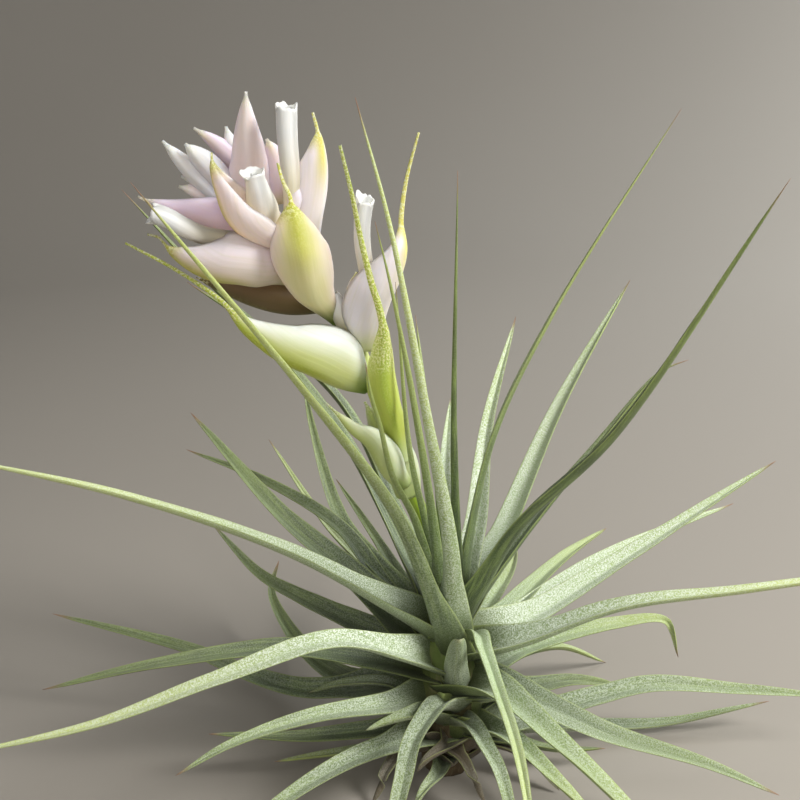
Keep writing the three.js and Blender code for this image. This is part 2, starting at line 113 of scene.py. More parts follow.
# Leaves that stand for CAD nodes: name, width, taper, look, path
LEAVES = [
    ("upright_leaf_1", 3, 1.6, IN_SHADE, [(1, -3, 46), (1, -6, 68), (0, -8, 99), (0, -6, 154)]),
    ("upright_leaf_2", 3.4, 1.4, OLIVE, [(-2, -3, 46), (-6, -6, 71), (-10, -8, 92), (-13, -9, 131)]),
    ("upright_leaf_3", 4, 1, OLIVE,
     [(-2, -4, 46), (-9, -7, 74), (-14, -9, 86), (-16.5, -11, 98.5), (-18.5, -12, 107),
      (-19.5, -12, 114)]),
    ("upright_leaf_4", 4, 1.4, OLIVE,
     [(-2, -5, 42), (-4, -11, 68), (-9, -14, 104), (-14, -17, 132), (-17, -20, 146)]),
    ("upright_leaf_5", 4.2, 1.8, OLIVE,
     [(4, -1, 44), (5, -2, 66), (10, -3, 94), (22, -2, 122), (47, 0, 166)]),
    ("upright_leaf_6", 7, 2.2, FRESH,
     [(-1, -5, 38), (-1, -17, 68), (-7, -25, 108), (-14, -31, 147), (-20, -35, 171)]),
    ("upright_leaf_7", 7.5, 1.5, UPRIGHT,
     [(-1, -4, 34), (-6, -14, 58), (-14, -20, 82), (-30, -31, 112), (-58, -48, 158)]),
    ("upright_leaf_8", 8, 1.3, IN_SHADE,
     [(3, -3, 40), (8, -8, 56), (16, -14, 76), (34, -20, 100), (61, -30, 156)]),
    ("upright_leaf_9", 9.5, 1.1, PALE, [(3, 3, 40), (13, 12, 54), (28, 28, 85), (48, 42, 119)]),
    ("upright_leaf_10", 5.5, 1.2, IN_SHADE,
     [(4, 1, 42), (18, 6, 62), (39, 18, 84), (54, 26, 99), (61, 27, 102)]),
    ("upright_leaf_11", 7.5, 1, PALE, [(1, 4, 42), (7, 12, 60), (11, 28, 84), (19, 46, 108)]),
    ("rear_leaf_1", 5.5, 1.2, IN_SHADE,
     [(-2, 4, 42), (-12, 13, 62), (-27, 24, 91), (-57, 30, 118), (-80, 32, 144)]),
    ("rear_leaf_2", 7, 1.1, IN_SHADE,
     [(-3, 4, 38), (-13, 20, 55), (-30, 34, 82), (-50, 42, 105), (-68, 44, 118)]),
    ("rear_leaf_3", 6.5, 0.95, PALE, [(0, 4, 38), (0, 22, 50), (1, 52, 62), (4, 90, 69)]),
    ("rear_leaf_4", 7, 0.95, IN_SHADE,
     [(-1, 4, 33), (-13, 19, 41), (-28, 36, 52), (-37, 52, 74), (-40, 60, 88)]),
    ("left_leaf_1", 8, 1.2, FRESH,
     [(-3, -2, 38), (-14, -6, 49), (-37, -10, 66), (-71, -14, 82), (-112, -16, 94)]),
    ("left_leaf_2", 10.5, 0.95, IN_SHADE,
     [(-4, 1, 33), (-16, 9, 40), (-28, 17, 48), (-44, 27, 58), (-69, 42, 82)]),
    ("left_leaf_3", 7, 1.1, FRESH,
     [(-3, -3, 31), (-13, -14, 42), (-28, -20, 49), (-54, -28, 44), (-80, -33, 36), (-112, -36, 30)]),
    ("left_leaf_4", 9, 0.95, IN_SHADE,
     [(-3, 3, 26), (-15, 12, 29), (-40, 32, 30), (-53, 41, 33), (-67, 50, 45)]),
    ("left_leaf_5", 7.5, 0.95, IN_SHADE,
     [(-4, -1, 28), (-20, -4, 34), (-41, -6, 38), (-71, -8, 35), (-100, -8, 28)]),
    ("left_leaf_6", 7.5, 0.95, SILVER,
     [(-3, -3, 21), (-15, -14, 27), (-33, -24, 31), (-50, -32, 30), (-62, -36, 25)]),
    ("left_leaf_7", 8, 0.95, IN_SHADE,
     [(-4, 1, 20), (-14, 5, 20), (-26, 9, 16), (-40, 12, 14), (-55, 14, 18), (-68, 15, 24),
      (-104, 16, 35)]),
    ("left_leaf_8", 7.5, 0.95, SILVER,
     [(-3, -3, 11), (-13, -14, 16), (-27, -24, 17), (-44, -34, 11), (-60, -46, 0)]),
    ("left_leaf_9", 6.5, 0.95, IN_SHADE, [(-4, 0, 10), (-20, -2, 11), (-38, -7, 13), (-59, -12, 18)]),
    ("right_leaf_1", 8.5, 0.95, PALE, [(4, 0, 34), (20, 5, 39), (48, 12, 55), (83, 18, 78)]),
    ("right_leaf_2", 7, 1.1, FRESH,
     [(4, -2, 33), (18, -9, 42), (39, -15, 55), (67, -19, 62), (108, -21, 70)]),
    ("right_leaf_3", 7.5, 0.95, PALE, [(4, 3, 28), (18, 17, 32), (46, 36, 41), (85, 52, 50)]),
    ("right_leaf_4", 8, 0.95, GREEN, [(2, 4, 28), (17, 18, 34), (32, 38, 37), (52, 68, 34)]),
    ("right_leaf_5", 7.5, 0.95, GREEN,
     [(4, 1, 23), (22, 10, 28), (46, 17, 31), (60, 20, 30), (64, 20, 19)]),
    ("right_leaf_6", 8, 0.95, SILVER,
     [(4, 0, 14), (20, 2, 12), (40, 4, 17), (54, 5, 20), (78, 6, 18), (104, 6, 16)]),
    ("right_leaf_7", 7, 0.95, SILVER, [(4, 1, 7), (20, 4, 7), (40, 9, 4), (60, 12, 3), (88, 14, 9)]),
    ("right_leaf_8", 8.5, 0.95, SILVER,
     [(3, -2, 24), (17, -9, 27), (38, -21, 24), (58, -30, 23), (74, -34, 18)]),
    ("right_leaf_9", 8, 0.95, GREEN,
     [(2, -4, 24), (12, -15, 31), (25, -31, 28), (46, -48, 14), (62, -60, 0)]),
    ("right_leaf_10", 6.5, 0.95, GREEN, [(3, -3, 12), (14, -12, 17), (26, -25, 13), (42, -36, 0)]),
    ("front_leaf_1", 3.6, 0.7, YELLOW,
     [(1, -4, 38), (6.5, -10, 44.5), (7.5, -20, 46), (8.5, -38, 50), (9.5, -65, 56.5), (9, -88, 63),
      (7.5, -112, 68)]),
    ("front_leaf_2", 7, 0.35, GREY,
     [(0, -4, 27), (2, -9, 28.5), (1.5, -14, 37), (1.5, -18, 44.5), (1.5, -21, 50.5)]),
    ("front_leaf_3", 7.5, 0.95, SILVER,
     [(-1, -4, 18), (1.5, -9, 23), (-2.5, -15, 27.5), (-6, -23, 29), (-9.5, -31, 28), (-11.5, -38, 24),
      (-15, -50, 12), (-17, -60, 0)]),
    ("front_leaf_4", 6, 0.95, SILVER,
     [(1, -4, 14), (3.5, -10, 19.5), (6, -16, 22), (8.5, -23, 21.5), (11, -29, 19.5), (14, -37, 12),
      (17, -44, 0)]),
    ("low_leaf_1", 7, 0.95, GREEN, [(-3, 4, 14), (-14, 18, 20), (-30, 36, 16), (-46, 54, 0)]),
    ("low_leaf_2", 7, 0.95, GREEN, [(0, 4, 18), (3, 22, 24), (8, 44, 18), (12, 68, 0)]),
    ("low_leaf_3", 7, 0.95, GREEN, [(3, 3, 14), (14, 16, 18), (32, 32, 14), (50, 46, 0)]),
]

# Smaller leaves that only the looks hold
MORE_LEAVES = [
    ("left_leaf_10", 7, 0.95, IN_SHADE,
     [(-3, 3, 30), (-13, 14, 37), (-28, 32, 51), (-49, 44, 60), (-73, 52, 67)]),
    ("left_leaf_11", 9, 0.8, IN_SHADE,
     [(-4, 4, 14), (-17, 12, 14), (-28, 24, 9), (-38, 36, 9), (-46, 46, 13), (-51, 54, 20),
      (-49, 60, 27)]),
    ("rear_leaf_5", 5, 0.95, OLIVE, [(-2, 4, 34), (-14, 22, 38), (-32, 48, 43), (-52, 72, 62)]),
    ("rear_leaf_6", 6, 0.95, IN_SHADE, [(-1, 4, 34), (-9, 20, 37), (-19, 48, 40), (-32, 76, 47)]),
    ("rear_leaf_7", 4.5, 1, PALE, [(1, 4, 40), (7, 20, 55), (10, 38, 70), (15, 55, 83)]),
    ("rear_leaf_8", 4, 1.2, GREEN,
     [(-0.5, 2, 41.5), (-2, 3, 63.5), (-4, 4, 85), (-6, 5, 99), (-8.5, 6, 119.5)]),
    ("rear_leaf_9", 7, 0.95, GREEN, [(-1, 4, 24), (-8, 24, 30), (-14, 48, 30), (-18, 78, 22)]),
    ("rear_leaf_10", 7, 0.95, GREEN, [(2, 4, 22), (10, 24, 28), (20, 48, 29), (26, 80, 22)]),
    ("right_leaf_11", 7, 0.8, IN_SHADE, [(3, -1, 24), (21, 4, 20), (34, 10, 18), (47, 16, 13)]),
    ("right_leaf_12", 6, 0.95, IN_SHADE, [(3, -2, 11), (18, -4, 9), (29, -3, 6), (41, -2, 6)]),
    ("left_leaf_12", 5.5, 0.95, OLIVE, [(-3, -2, 8), (-19, -4, 7), (-32, -5, 6), (-44, -6, 5)]),
    ("front_leaf_5", 8, 0.8, SILVER, [(-2, -6, 17), (-6, -14, 25), (-12, -20, 28), (-20, -24, 28)]),
    ("foot_leaf_1", 5, 0.5, DRY, [(1, -6, 11), (-1, -14, 15), (-5, -18, 15), (-8, -20, 13)]),
    ("foot_leaf_2", 4, 0.8, DRY, [(0, -6, 9), (4, -14, 11), (6, -18, 9), (9, -20, 3)]),
    ("foot_leaf_3", 5.5, 0.7, SILVER, [(-1, -6, 6), (-3, -18, 10), (-6, -24, 11), (-9, -28, 8)]),
    ("foot_leaf_4", 5, 0.7, DRY, [(-5, -4, 8), (-12, -10, 10), (-16, -14, 7), (-19, -17, 1)]),
    ("foot_leaf_5", 5.5, 0.8, DRY, [(-4, 4, 9), (-12, 12, 12), (-20, 20, 9), (-26, 26, 1)]),
    ("foot_leaf_6", 5.5, 0.8, OLIVE, [(4, 4, 9), (10, 14, 13), (16, 24, 11), (20, 34, 2)]),
    ("foot_leaf_7", 5.5, 0.8, DRY, [(5, -1, 6), (14, -4, 8), (22, -8, 6), (28, -12, 1)]),
    ("foot_leaf_8", 5.5, 0.8, SILVER, [(5, 2, 12), (16, 6, 17), (27, 11, 17), (38, 17, 14)]),
    ("foot_leaf_9", 5.5, 0.8, OLIVE, [(-1, 5, 8), (-3, 16, 12), (-6, 28, 10), (-8, 38, 2)]),
    ("foot_leaf_10", 5.5, 0.8, SILVER, [(-5, 1, 16), (-15, 4, 21), (-26, 6, 20), (-36, 8, 16)]),
]

# Short old leaf bases that clothe the stem in a spiral. Each starts higher than the one before, rises
# further and spreads less
BASE_COUNT = 16
BASE_WIDTH = 8
BASE_TAPER = 0.5
BASE_TOP = 12
BASE_RISE = 7
BASE_RISE_GAIN = 9
BASE_SPREAD = 15
BASE_SPREAD_LOSS = 4
GOLDEN_ANGLE = math.pi * (3 - math.sqrt(5))

# Bracts: body is the share of the path that is wide, foot the share of the width at its base, belly where
# it is widest, point the bluntness of its end, depth that of its hollow and faces the way the hollow looks.
# The rows are the part's, except that crown_bract_back is narrower here and turned
BRACTS = [
    dict(name="crown_bract_top", look="rose", width=9.4, body=0.99, belly=0.2, point=1.4,
         faces=(0, 1, 0),
         path=[(-42, 2, 144), (-44.5, 2, 149), (-44.5, 1, 155), (-44.5, 0, 162.5), (-44, -1, 169.5)]),
    dict(name="crown_bract_back", look="lilac", width=4.8, body=0.98, belly=0.4, point=1.6,
         faces=(0.5, 1, -0.3),
         path=[(-43, 5, 146), (-47, 7, 152.5), (-51, 7, 156.5), (-54, 6, 159.5), (-56.5, 5, 161.5)]),
    dict(name="crown_bract_left", look="lilac", width=8, body=0.97, belly=0.35, point=1.5, depth=1.1,
         faces=(0.1, 0.5, 1),
         path=[(-40, 1, 138), (-45.5, -2, 139.5), (-53.5, -5, 142.5), (-58, -7, 144.5),
               (-63.5, -7, 147), (-67, -6, 148.5)]),
    dict(name="floral_bract_right", look="pink", width=8.5, body=0.9, belly=0.5, point=2.2, depth=1,
         faces=(-1, 0.9, 0.1),
         path=[(-31, 0, 130), (-30.5, -1, 141), (-29, -2, 149.5), (-28.5, -3, 156), (-29, -3, 161.5),
               (-30, -3, 165.5)]),
    dict(name="floral_bract_middle", look="peach", width=10.5, body=0.97, belly=0.5, point=1.7, depth=1,
         faces=(0.8, -0.05, 0.6), foot=0.2,
         path=[(-34, 0, 135), (-38, -3, 137.5), (-41.5, -6.5, 139.5), (-45, -9.5, 142),
               (-47.5, -11.5, 145.5), (-49, -12.5, 150.5), (-50, -12.5, 155), (-50, -12.5, 158.5)]),
    dict(name="floral_bract_left", look="peach", width=11.5, body=0.87, belly=0.5, foot=0.6, point=1.75,
         depth=1.1, faces=(0.1, 0.6, 1),
         path=[(-34, -1, 128.5), (-39, -4, 130), (-43, -8, 130.5), (-46, -10, 131.5),
               (-51, -11.5, 132.5), (-55.5, -12, 134.5), (-59, -11.5, 137), (-61, -10.5, 139),
               (-62.5, -9.5, 140.5), (-65, -8.5, 141)]),
    dict(name="floral_bract_front", look="cream", width=11.8, body=0.8, belly=0.62, foot=0.1, point=2.6,
         path=[(-26.5, -1.5, 119.5), (-28.5, -5, 123), (-30.5, -9, 127), (-31.5, -12.5, 132.5),
               (-32, -14.5, 138), (-33, -14, 143), (-34, -12.5, 147.5), (-34.5, -11, 149.5),
               (-36, -10, 152.5), (-37, -9, 156)]),
    dict(name="floral_bract_low", look="lime", width=13, body=0.62, belly=0.3, foot=0.2, point=1.6,
         depth=1, faces=(0.1, 1.1, 0.9),
         path=[(-20, -1.5, 103.5), (-24, -6, 106.5), (-30, -11, 111.5), (-37.5, -13, 115.5),
               (-44.5, -13, 121), (-49.5, -12, 127), (-58.5, -11, 133.5), (-69.5, -10, 139.5)]),
    dict(name="side_bract_right", look="pink", width=9.5, body=0.62, belly=0.35, foot=0.4, point=1.7,
         depth=1.2, faces=(-1, 0.5, 0.2),
         path=[(-18, -3, 114), (-15, -6, 125.5), (-12.5, -7, 131.5), (-11, -7, 137.5), (-11.5, -5, 143),
               (-10.5, -4, 151.5), (-8, -4, 161.5)]),
    dict(name="stalk_bract_upper", look="green", width=6.2, body=0.48, belly=0.55, foot=0.45, point=1.8,
         depth=0.9, faces=(-0.3, 1, 0),
         path=[(-11, -3, 86.5), (-12.5, -5, 94.5), (-14.5, -7.5, 102.5), (-15.5, -8.5, 109),
               (-15.5, -9, 116), (-15.5, -9.5, 121), (-16.5, -10, 126), (-18, -11, 131.5),
               (-20, -13, 141), (-21.5, -17, 150.5), (-23.5, -22, 161)]),
    dict(name="stalk_bract_lower", look="pale_green", width=6.4, body=0.93, belly=0.4, foot=0.5,
         point=1.4, depth=1, faces=(0.5, 0.9, 0.7),
         path=[(-11.5, -2.5, 80), (-14.5, -6, 84), (-19, -8, 93), (-22.5, -9, 96.5),
               (-25.5, -9.5, 100.5), (-28.5, -9, 103.5)]),
    dict(name="stalk_sheath", look="pale_green", width=8, body=0.97, belly=0.4, foot=0.7, point=1.6,
         depth=0.9, faces=(0.2, 1, 0.1),
         path=[(-10.5, -2, 77), (-12, -2.5, 83), (-14.5, -3, 89), (-17.5, -3.5, 96), (-20, -4, 102)]),
]

# What the crown's buds share; they are rolled further round than bracts
BUD = dict(body=0.99, wrap=1.2, faces=(0.4, 1, -0.3))

# Bracts and buds that only the looks hold
MORE_BRACTS = [
    dict(name="shaded_bract", look="shade", width=9, body=0.99, belly=0.4, foot=0.5, point=1.6,
         depth=0.8, faces=(0.1, 0.6, 1),
         path=[(-26, 1, 122.5), (-37, 2, 121.5), (-46, 4, 123), (-58, 5, 128.5)]),
    dict(name="crown_bract_right", look="lilac", width=6.5, body=0.98, belly=0.4, point=1.6,
         faces=(-0.3, 1, 0),
         path=[(-37.5, 3, 145.5), (-38, 4, 150.5), (-39, 3.5, 155.5), (-40.5, 2.5, 159.5)]),
    dict(name="crown_bract_inner", look="rose", width=3.6, body=0.98, belly=0.4, point=1.6,
         faces=(0.5, 1, 0), path=[(-35, -4, 145), (-35.5, -4, 149), (-37, -3, 153.5)]),
    dict(name="side_bract_inner", look="pink", width=6, body=0.98, belly=0.4, point=1.6,
         faces=(0.5, 1, 0),
         path=[(-19, -1, 116), (-21.5, -3, 121), (-22.5, -4, 127), (-21.5, -4, 132)]),
    dict(BUD, name="crown_bud_1", look="white", width=4.4, belly=0.45, point=2,
         path=[(-46, 4, 141), (-53, 4, 148), (-59, 3.5, 154), (-63, 3, 159)]),
    dict(BUD, name="crown_bud_2", look="white", width=5, belly=0.5, point=3,
         path=[(-46, 3, 142), (-52, 3, 151), (-55, 2, 155), (-58, 2, 158.5)]),
    dict(BUD, name="crown_bud_3", look="white", width=3, belly=0.5, point=2.5,
         path=[(-46, 5, 142), (-53, 6, 148), (-57, 6, 150), (-60, 6, 151)]),
    dict(BUD, name="crown_bud_4", look="white", width=2.6, belly=0.5, point=3,
         path=[(-46, 7, 147), (-48.5, 8, 155), (-49.5, 8, 158.5), (-50, 8, 161.5)]),
    dict(BUD, name="crown_bud_5", look="rose", width=3.4, belly=0.5, point=2.5,
         path=[(-44, 4, 142), (-53, 5, 146.5), (-57, 5, 148), (-60.5, 5, 149)]),
]

# Rolled petals: mouth is the width of the mouth against that of the middle, 0 for a closed bud, and splay
# is how far the first petal's lobe curls out; the others curl a quarter as far. Radii are near the part's
COROLLAS = [
    dict(name="corolla_tall", radius=1.9, mouth=1.1, splay=0.1,
         path=[(-36, -1, 139), (-35, -3, 151), (-35.5, -3, 160), (-35.5, -3, 168)]),
    dict(name="corolla_right", radius=1.6, mouth=1.05, splay=0.3,
         path=[(-17.5, -3, 118), (-18.5, -4, 128), (-20, -5, 138), (-20, -5.5, 143), (-19, -6, 149.5)]),
    dict(name="corolla_left", radius=1.8, mouth=1.1, splay=0.2,
         path=[(-44.5, -2, 139.5), (-49, -6, 140), (-53, -9, 141), (-56.5, -11, 143),
               (-60.5, -12, 145.5), (-64, -12, 146.5)]),
    dict(name="corolla_middle", radius=3.1, mouth=0.6, splay=0.35,
         path=[(-38.5, -3, 139), (-40, -6, 143), (-41, -8.5, 148.5), (-41.5, -10, 152),
               (-42, -10.5, 155)]),
    dict(name="corolla_bud", radius=2.1, mouth=0, splay=0,
         path=[(-23.5, -1, 117), (-25, -3, 122.5), (-26.5, -3, 127.5)]),
]


# --- shapes -----------------------------------------------------------------------------------------------


def unit(vectors):
    return vectors / np.linalg.norm(vectors, axis=-1, keepdims=True)


def smoothstep(low, high, value):
    share = np.clip((value - low) / (high - low), 0, 1)
    return share * share * (3 - 2 * share)


SPAN_SAMPLES = 60


def dense_curve(path):
    """Many points of the centripetal Catmull-Rom curve through a path."""
    points = np.array(path, float)
    first = 2 * points[0] - points[1]
    last = 2 * points[-1] - points[-2]
    points = np.vstack([first, points, last])
    spans = []
    share = np.linspace(0, 1, SPAN_SAMPLES, endpoint=False)[:, None]
    for a, b, c, d in zip(points, points[1:], points[2:], points[3:]):
        before, within, after = (math.sqrt(np.linalg.norm(v)) for v in (b - a, c - b, d - c))
        leaving = ((b - a) / before - (c - a) / (before + within) + (c - b) / within) * within
        arriving = ((c - b) / within - (d - b) / (within + after) + (d - c) / after) * within
        square = -3 * b + 3 * c - 2 * leaving - arriving
        cube = 2 * b - 2 * c + leaving + arriving
        spans.append(b + leaving * share + square * share**2 + cube * share**3)
    return np.vstack(spans + [points[-2:-1]])


def along_curve(path, step):
    """Points about a step apart on a path's curve, its tangents, shares of its length and its length."""
    dense = dense_curve(path)
    run = np.concatenate([[0], np.cumsum(np.linalg.norm(np.diff(dense, axis=0), axis=1))])
    count = max(8, round(run[-1] / step))
    share = np.linspace(0, 1, count)
    points = np.stack([np.interp(share * run[-1], run, dense[:, axis]) for axis in range(3)], 1)
    return points, unit(np.gradient(points, axis=0)), share, run[-1]


def frames(tangents, inner):
    """Side and normal at each point of a curve; the normal leans to inner, where the hollow faces."""
    side = unit(np.cross(tangents, inner))
    return side, np.cross(side, tangents)


def wavering(rng, run, amount, wave):
    """A random change along a run of millimetres, up to amount either way, with a turn every wave or so."""
    knots = max(4, int(run[-1] / wave) + 3)
    values = rng.uniform(-1, 1, knots)
    return amount * np.interp(run / wave, np.arange(knots), values)


def finish_mesh(name, verts, faces, values):
    """A smooth closed mesh object in metres, with a value of each kind at each vertex."""
    mesh = bpy.data.meshes.new(name)
    mesh.from_pydata((np.asarray(verts) * MM).tolist(), [], faces)
    for key, data in values.items():
        data = np.asarray(data, float)
        kind, field = ("FLOAT_VECTOR", "vector") if data.ndim == 2 else ("FLOAT", "value")
        mesh.attributes.new(key, kind, "POINT").data.foreach_set(field, data.ravel())
    shape = bmesh.new()
    shape.from_mesh(mesh)
    bmesh.ops.recalc_face_normals(shape, faces=shape.faces)
    shape.to_mesh(mesh)
    shape.free()
    mesh.polygons.foreach_set("use_smooth", [True] * len(mesh.polygons))
    piece = bpy.data.objects.new(name, mesh)
    bpy.context.scene.collection.objects.link(piece)
    return piece


# Millimetres that keep the patterns of a piece's two sides, and of two pieces, apart
SIDE_OFFSET = 20
SEED_OFFSET = 7.3


def blade(name, middle, half, share, across, length, looks):
    """A thin closed piece around a grid of points, half as thick as half says on each side.

    middle is rings x columns x 3; half is zero in the first and last column, the two edges.
    """
    rings, columns = half.shape
    along_step = np.gradient(middle, axis=0)
    across_step = np.gradient(middle, axis=1)
    normal = unit(np.cross(across_step, along_step) + 1e-12)
    under = middle - normal * half[..., None]
    upper = middle + normal * half[..., None]
    loop = np.concatenate([under, upper[:, -2:0:-1]], axis=1)
    count = loop.shape[1]
    faces = []
    for i in range(rings - 1):
        for k in range(count):
            a, b = i * count + k, i * count + (k + 1) % count
            faces.append((a, b, b + count, a + count))
    for start in (0, (rings - 1) * count):
        faces.append((start, start + 1, start + count - 1))
        for k in range(1, columns - 2):
            faces.append((start + k, start + k + 1, start + count - k - 1, start + count - k))
        faces.append((start + columns - 2, start + columns - 1, start + columns))
    steps = np.linalg.norm(np.diff(middle, axis=1), axis=2)
    reach = np.concatenate([np.zeros((rings, 1)), np.cumsum(steps, axis=1)], axis=1)
    reach -= reach[:, -1:] / 2
    order = list(range(columns)) + list(range(columns - 2, 0, -1))
    # 0 on the under side, 1 on the upper side and a half on the two edges
    faced = [0.0] * columns + [1.0] * (columns - 2)
    faced[0] = faced[columns - 1] = 0.5
    offset = looks["seed"] * SEED_OFFSET
    values = {
        "along": np.repeat(share, count),
        "across": np.tile(across[order], rings),
        "upper": np.tile(faced, rings),
        "place": np.stack(
            [
                reach[:, order].ravel(),
                np.repeat(share * length, count),
                np.tile(np.array(faced) * SIDE_OFFSET + offset, rings),
            ],
            1,
        ),
    }
    for key, value in looks.items():
        if key != "seed":
            values[key] = np.full(rings * count, value)
    return finish_mesh(name, loop.reshape(-1, 3), faces, values)


LEAF_COLUMNS = 15
LEAF_STEP = 1.3

# Half the width at a leaf's very tip
LEAF_TIP = 0.05

# How far back along its heading a leaf's hollow looks, against up
LEAF_LEAN = 0.9

# Random change of a leaf's twist in radians, its width and its edges' rise, each with its wave
LEAF_TWIST = (0.12, 24)
LEAF_WAVER = (0.03, 9)
LEAF_EDGE_WAVER = (0.06, 7)

# Rise of a leaf's edges over its middle, per half width, what the clasp and the tip add to it, and how
# rounded the channel's bottom is
LEAF_CUP = 0.75
CLASP_CUP = 0.1
TIP_CUP = 0.2
TROUGH_SOFTNESS = 0.3


def leaf(index, name, width, taper, look, path, growth, turn=0.0):
    """A channelled leaf; growth is how much its sheath widens at the foot."""
    rng = np.random.default_rng(index)
    points, tangents, share, length = along_curve(path, LEAF_STEP)
    heading = np.array(path[-1], float) - np.array(path[0], float)
    heading[2] = 0
    inner = UP - LEAF_LEAN * unit(heading) + turn * TOWARDS_VIEWER
    side, normal = frames(tangents, inner)
    run = share * length
    twist = wavering(rng, run, *LEAF_TWIST) * smoothstep(4, 20, run)
    side, normal = (
        side * np.cos(twist)[:, None] + normal * np.sin(twist)[:, None],
        normal * np.cos(twist)[:, None] - side * np.sin(twist)[:, None],
    )
    sheath = min(max(SHEATH_SHARE * length, SHEATH_LEAST), SHEATH_MOST)
    clasp = 1 - smoothstep(SHEATH_EASE, sheath, run)
    half_width = width / 2 * ((1 - FINE_SHARE) * (1 - share) ** taper + FINE_SHARE * (1 - share**8))
    half_width = half_width * (1 + growth * clasp) * (1 + wavering(rng, run, *LEAF_WAVER)) + LEAF_TIP
    across = np.sin(np.linspace(-math.pi / 2, math.pi / 2, LEAF_COLUMNS))
    cup = LEAF_CUP + CLASP_CUP * clasp + TIP_CUP * smoothstep(0.55, 1, share)
    soft = TROUGH_SOFTNESS
    trough = (np.sqrt(across**2 + soft**2) - soft) / (math.sqrt(1 + soft**2) - soft)
    lift = wavering(rng, run, *LEAF_EDGE_WAVER)
    rise = cup[:, None] * half_width[:, None] * trough[None, :] * (1 + lift[:, None] * across[None, :])
    middle = (
        points[:, None]
        + side[:, None] * (half_width[:, None] * across[None, :])[..., None]
        + normal[:, None] * rise[..., None]
    )
    thickness = LEAF_THICKNESS + (TIP_THICKNESS - LEAF_THICKNESS) * share
    thickness = np.minimum(thickness, half_width * 1.1)
    half = thickness[:, None] / 2 * (1 - across[None, :] ** 4) ** 0.8
    half[:, 0] = half[:, -1] = 0
    looks = dict(zip(("tone", "silver", "yellow", "dry", "under"), look), seed=index)
    return blade(name, middle, half, share, across, length, looks)


BRACT_COLUMNS = 21
BRACT_STEP = 0.7
BRACT_THICKNESS = 0.7

# An awn's width if it began at the bract's foot, and the share of it gone at the tip
AWN_WIDTH = 2
AWN_NARROWING = 0.75

# How far above the nearest point of the stalk a bract's hollow looks, unless its row says where
HOLLOW_LIFT = 4

# How far the edges wrap round from the keel, and how much less they do towards the point
BRACT_WRAP = math.radians(118)
BRACT_OPENING = math.radians(22)

# A keel's height against half the bract's width, and its breadth as a share of the way to the edge
KEEL_HEIGHT = 0.1
KEEL_SHARE = 0.16

# Random change of a bract's width and its edges, each with its wave
BRACT_WAVER = (0.02, 5)
BRACT_EDGE_WAVER = (0.03, 4)


def bract_width(share, width, body, belly, point, foot):
    """Swells to the belly, draws in to a point and then runs out into the awn."""
    u = np.minimum(share / body, 1)
    opening = foot + (1 - foot) * np.sin(np.minimum(1, u / belly) * math.pi / 2)
    closing = 1 - np.maximum(0, (u - belly) / (1 - belly)) ** point
    body_width = width * opening * closing
    awn = AWN_WIDTH * (1 - AWN_NARROWING * share)
    return (body_width**3 + awn**3) ** (1 / 3)


def bract(index, name, path, width, body, belly, point, foot=0.3, depth=0.85, faces=None, wrap=1.0):
    """A boat-shaped scale, whose keel runs through the path and whose edges wrap round its hollow."""
    rng = np.random.default_rng(BRACT_SEED + index)
    points, tangents, share, length = along_curve(path, BRACT_STEP)
    if faces:
        inner = np.array(faces, float)[None, :].repeat(len(points), 0)
    else:
        stalk = dense_curve(STALK_PATH)
        nearest = [stalk[np.argmin(np.linalg.norm(stalk - p, axis=1))] for p in points]
        inner = np.array(nearest) - points + HOLLOW_LIFT * UP
    side, normal = frames(tangents, inner)
    u = np.minimum(share / body, 1)
    half_width = bract_width(share, width, body, belly, point, foot) / 2
    run = share * length
    half_width *= 1 + wavering(rng, run, *BRACT_WAVER)
    across = np.linspace(-1, 1, BRACT_COLUMNS)
    angle = wrap * (BRACT_WRAP - BRACT_OPENING * smoothstep(0.5, 1, u))
    turn = angle[:, None] * across[None, :]
    keel = KEEL_HEIGHT * half_width[:, None] * np.exp(-((across[None, :] / KEEL_SHARE) ** 2))
    waver = 1 + wavering(rng, run, *BRACT_EDGE_WAVER)[:, None] * across[None, :] ** 3
    middle = (
        points[:, None]
        + side[:, None] * (half_width[:, None] * np.sin(turn) * waver)[..., None]
        + normal[:, None] * (depth * half_width[:, None] * (1 - np.cos(turn)) - keel)[..., None]
    )
    thickness = np.minimum(BRACT_THICKNESS, half_width * 0.8)
    half = thickness[:, None] / 2 * (1 - across[None, :] ** 6) ** 0.7
    half[:, 0] = half[:, -1] = 0
    looks = {"seed": index + BRACT_SEED, "body": body}
    return blade(name, middle, half, share, across, length, looks)


PETALS = 3
PETAL_COLUMNS = 17
PETAL_STEP = 0.6
PETAL_ARC = math.radians(96)
PETAL_HALF_THICKNESS = 0.1


